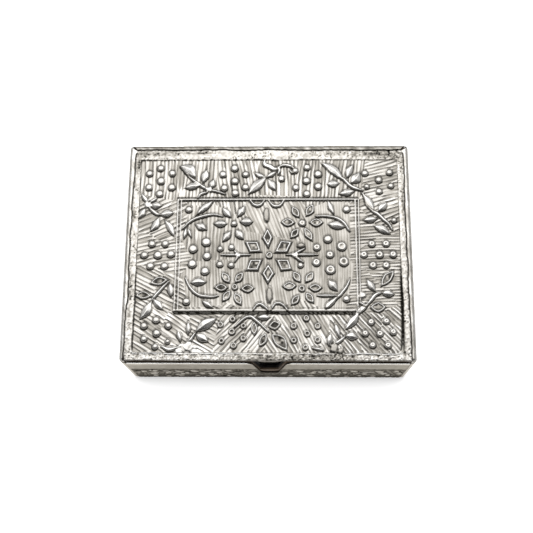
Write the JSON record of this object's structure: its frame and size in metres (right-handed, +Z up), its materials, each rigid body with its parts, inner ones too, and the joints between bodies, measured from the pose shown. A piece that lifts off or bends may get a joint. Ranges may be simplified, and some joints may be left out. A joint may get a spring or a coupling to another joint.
{
  "type": "hinged box",
  "caption": "Small rectangular keepsake box: a wooden case clad in embossed silver-coloured sheet, with a velvet lining, a rear-hinged lid and a thumb notch in the front.",
  "frame": {"origin": "centre of the underside of the felt that the box stands on", "axes": "+X along the width, to the right of someone who faces the front; the front with its thumb notch faces -Y; +Z up"},
  "size_m": [0.11, 0.0876, 0.0358],
  "materials": {
    "silver_sheet": "embossed sheet with dark patina in the recesses and rubbed bright edges",
    "case_wood": "plain thin boards, unvarnished",
    "velvet": "black velvet glued to card",
    "felt": "dark pressed felt",
    "hinge_brass": "dull brass",
    "hinge_steel": "plain drawn wire and small flat-headed nails"
  },
  "bodies": {
    "base": {"floor_board": "case_wood", "front_wall": "case_wood", "rear_wall": "case_wood", "left_wall": "case_wood", "right_wall": "case_wood", "front_cladding": "silver_sheet", "rear_cladding": "silver_sheet", "left_cladding": "silver_sheet", "right_cladding": "silver_sheet", "floor_lining": "velvet", "front_lining": "velvet", "rear_lining": "velvet", "left_lining": "velvet", "right_lining": "velvet", "base_felt": "felt", "base_hinge_leaf_left": "hinge_brass", "base_hinge_leaf_right": "hinge_brass", "hinge_pin_left": "hinge_steel", "hinge_pin_right": "hinge_steel", "base_hinge_nail_1": "hinge_steel", "base_hinge_nail_2": "hinge_steel", "base_hinge_nail_3": "hinge_steel", "base_hinge_nail_4": "hinge_steel"},
    "lid": {"lid_plate": "silver_sheet", "lid_band_left": "silver_sheet", "lid_band_right": "silver_sheet", "lid_band_rear": "silver_sheet", "lid_board": "case_wood", "lid_lining": "velvet", "lid_hinge_leaf_left": "hinge_brass", "lid_hinge_leaf_right": "hinge_brass", "lid_hinge_nail_1": "hinge_steel", "lid_hinge_nail_2": "hinge_steel", "lid_hinge_nail_3": "hinge_steel", "lid_hinge_nail_4": "hinge_steel"}
  },
  "joints": [
    {"name": "lid_hinge", "type": "hinge", "parent": "base", "child": "lid", "pos_m": [0, 0.0435, 0.03199], "axis": [-1, 0, 0], "range_deg": [0, 175]}
  ]
}
